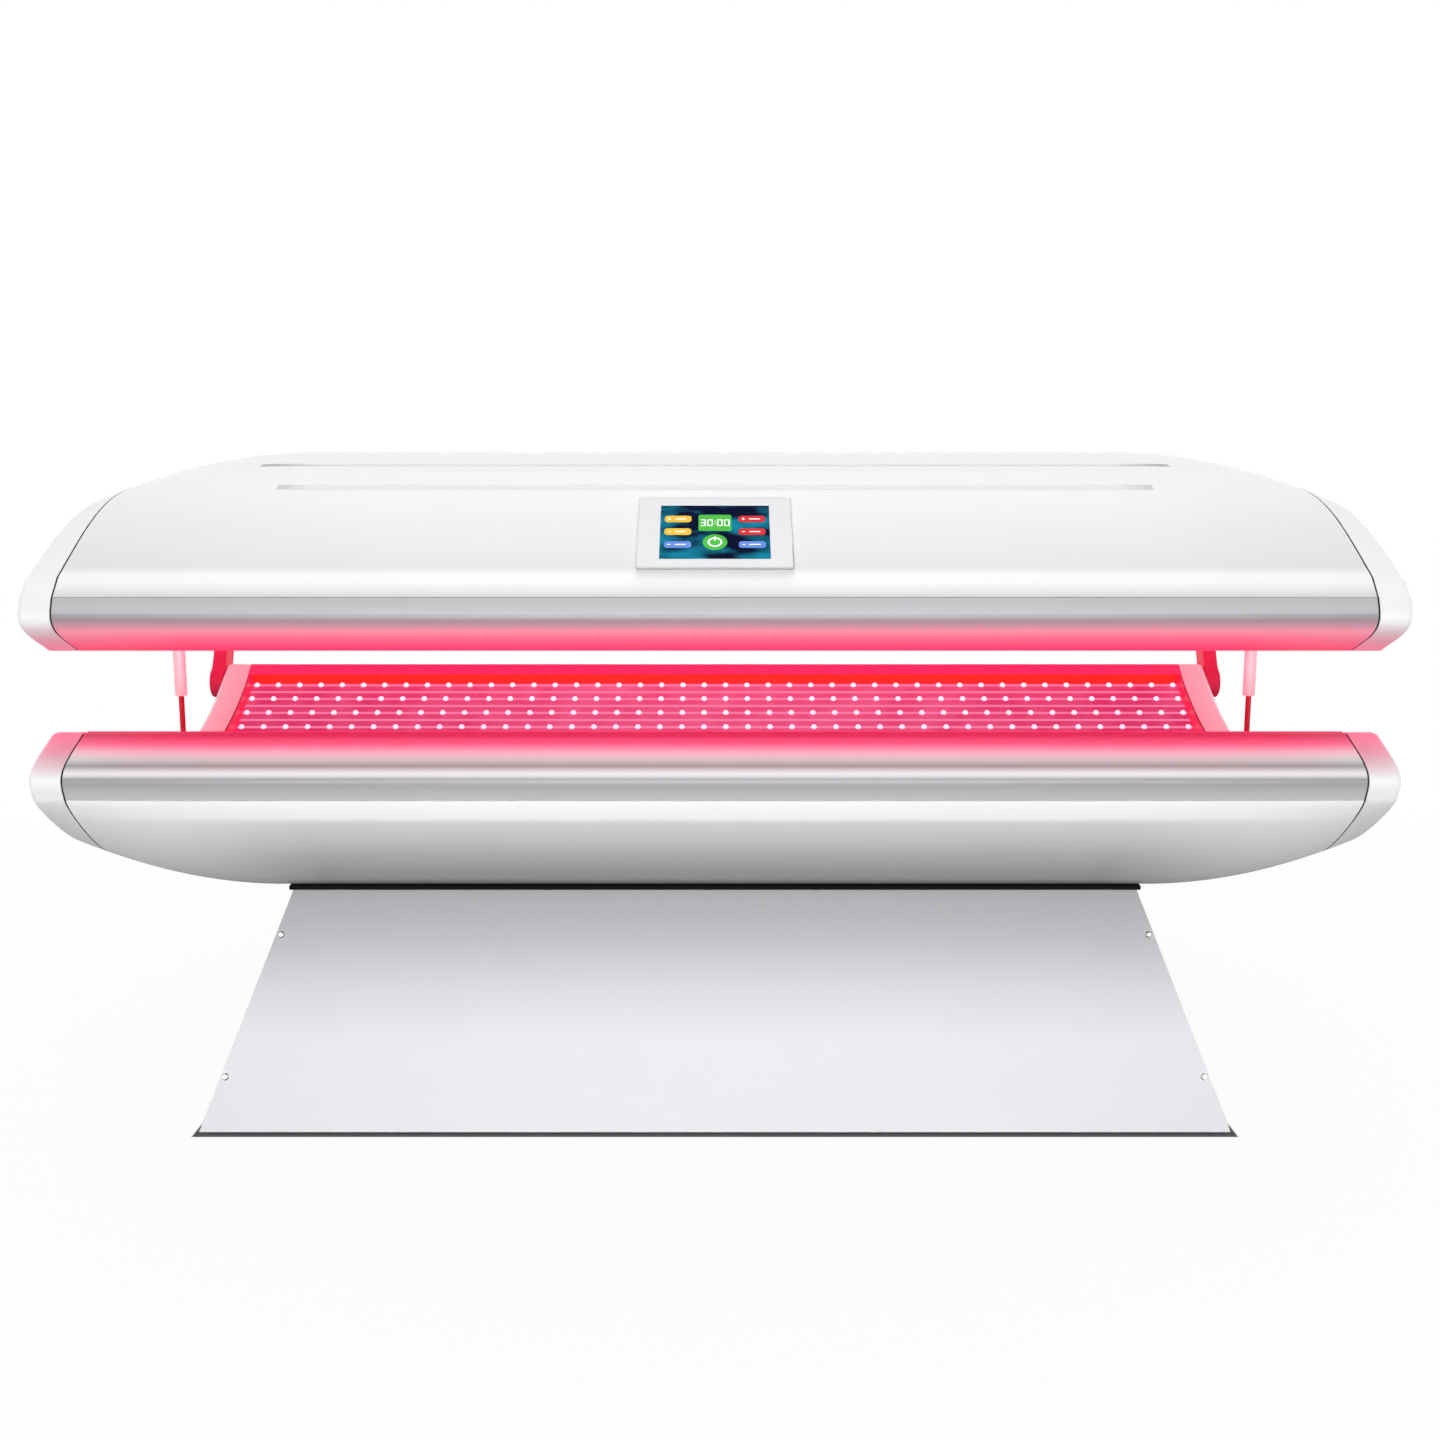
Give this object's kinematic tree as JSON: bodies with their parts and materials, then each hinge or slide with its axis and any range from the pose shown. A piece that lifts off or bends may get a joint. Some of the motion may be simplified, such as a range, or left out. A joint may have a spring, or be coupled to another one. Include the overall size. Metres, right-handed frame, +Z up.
{
  "type": "red light therapy bed",
  "caption": "Clamshell light therapy bed: a lying tub on a flared sheet metal base, and a hinged canopy on gas springs, each lined with LED boards behind curved acrylic.",
  "frame": {"origin": "middle of the overall box, on the floor", "axes": "+X along the bed, -Y towards the front with the touch screen, +Z up"},
  "size_m": [2.2758, 1.16, 1.147],
  "materials": {
    "white_gloss_shell": "gloss white moulded shell",
    "white_moulded_cap": "white moulded end cap, soft gloss",
    "white_coated_sheet": "white powder coated sheet",
    "satin_anodised_aluminium": "satin anodised extrusion",
    "clear_acrylic": "clear polished sheet tinted by the red light",
    "reflector_aluminium": "plain folded sheet",
    "led_board": "board with lit red LEDs",
    "black_rubber": "matt black",
    "primed_steel_tube": "grey primer",
    "zinc_plated_steel": "zinc plated",
    "white_coated_tube": "white coated tube",
    "chromed_rod": "polished rod",
    "white_coated_arm": "white powder coat",
    "screen_glass": "dark screen glass",
    "black_plastic": "matt black moulding",
    "green_board": "green solder mask"
  },
  "bodies": {
    "base": {"base_frame": "primed_steel_tube", "base_front_panel": "white_coated_sheet", "base_left_panel": "white_coated_sheet", "base_rear_panel": "white_coated_sheet", "base_right_panel": "white_coated_sheet", "control_board": "green_board", "equipment_shelf": "zinc_plated_steel", "fan_frame_left": "black_plastic", "fan_frame_right": "black_plastic", "hinge_pin_left": "zinc_plated_steel", "hinge_pin_right": "zinc_plated_steel", "hull_gasket": "black_rubber", "levelling_foot_front_left": "black_rubber", "levelling_foot_front_right": "black_rubber", "levelling_foot_rear_left": "black_rubber", "levelling_foot_rear_right": "black_rubber", "lower_acrylic": "clear_acrylic", "lower_front_rail": "satin_anodised_aluminium", "lower_led_board_1": "led_board", "lower_led_board_2": "led_board", "lower_led_board_3": "led_board", "lower_led_board_4": "led_board", "lower_led_board_5": "led_board", "lower_left_end_cap": "white_moulded_cap", "lower_rear_rail": "satin_anodised_aluminium", "lower_right_end_cap": "white_moulded_cap", "lower_shell": "white_gloss_shell", "lower_tray": "reflector_aluminium", "mains_inlet": "black_plastic", "power_supply_left": "reflector_aluminium", "power_supply_right": "reflector_aluminium", "spring_fork_lower_left": "zinc_plated_steel", "spring_fork_lower_right": "zinc_plated_steel", "tray_former_left": "zinc_plated_steel", "tray_former_right": "zinc_plated_steel"},
    "canopy": {"control_bezel": "white_gloss_shell", "hinge_arm_left": "white_coated_arm", "hinge_arm_right": "white_coated_arm", "spring_fork_upper_left": "zinc_plated_steel", "spring_fork_upper_right": "zinc_plated_steel", "touch_screen": "screen_glass", "upper_acrylic": "clear_acrylic", "upper_front_rail": "satin_anodised_aluminium", "upper_led_board_1": "led_board", "upper_led_board_2": "led_board", "upper_led_board_3": "led_board", "upper_led_board_4": "led_board", "upper_led_board_5": "led_board", "upper_left_end_cap": "white_moulded_cap", "upper_rear_rail": "satin_anodised_aluminium", "upper_right_end_cap": "white_moulded_cap", "upper_shell": "white_gloss_shell", "upper_tray": "reflector_aluminium"},
    "spring_rod_left": {"gas_spring_rod_left": "chromed_rod"},
    "spring_tube_left": {"gas_spring_tube_left": "white_coated_tube"},
    "fan_rotor_left": {"fan_rotor_left": "black_plastic"},
    "spring_rod_right": {"gas_spring_rod_right": "chromed_rod"},
    "spring_tube_right": {"gas_spring_tube_right": "white_coated_tube"},
    "fan_rotor_right": {"fan_rotor_right": "black_plastic"}
  },
  "joints": [
    {"name": "canopy_hinge", "type": "hinge", "parent": "base", "child": "canopy", "pos_m": [0, 0.47, 0.64], "axis": [-1, 0, 0], "range_deg": [0, 28]},
    {"name": "rod_pivot_left", "type": "hinge", "parent": "base", "child": "spring_rod_left", "pos_m": [-1.075, 0.08, 0.54917], "axis": [-1, 0, 0], "range_deg": [0, 20]},
    {"name": "tube_pivot_left", "type": "hinge", "parent": "canopy", "child": "spring_tube_left", "pos_m": [-1.075, 0.08, 0.94883], "axis": [1, 0, 0], "range_deg": [0, 9]},
    {"name": "rod_pivot_right", "type": "hinge", "parent": "base", "child": "spring_rod_right", "pos_m": [1.075, 0.08, 0.54917], "axis": [-1, 0, 0], "range_deg": [0, 20]},
    {"name": "tube_pivot_right", "type": "hinge", "parent": "canopy", "child": "spring_tube_right", "pos_m": [1.075, 0.08, 0.94883], "axis": [1, 0, 0], "range_deg": [0, 9]},
    {"name": "fan_spin_left", "type": "hinge", "parent": "base", "child": "fan_rotor_left", "pos_m": [-0.25, 0.3026, 0.1229], "axis": [0, 1, 0], "continuous": true},
    {"name": "fan_spin_right", "type": "hinge", "parent": "base", "child": "fan_rotor_right", "pos_m": [0.25, 0.3026, 0.1229], "axis": [0, 1, 0], "continuous": true}
  ],
  "couplings": [
    {"joint": "rod_pivot_left", "follows": "canopy_hinge", "ratio": 0.6973},
    {"joint": "tube_pivot_left", "follows": "canopy_hinge", "ratio": 0.3027},
    {"joint": "rod_pivot_right", "follows": "canopy_hinge", "ratio": 0.6973},
    {"joint": "tube_pivot_right", "follows": "canopy_hinge", "ratio": 0.3027}
  ]
}
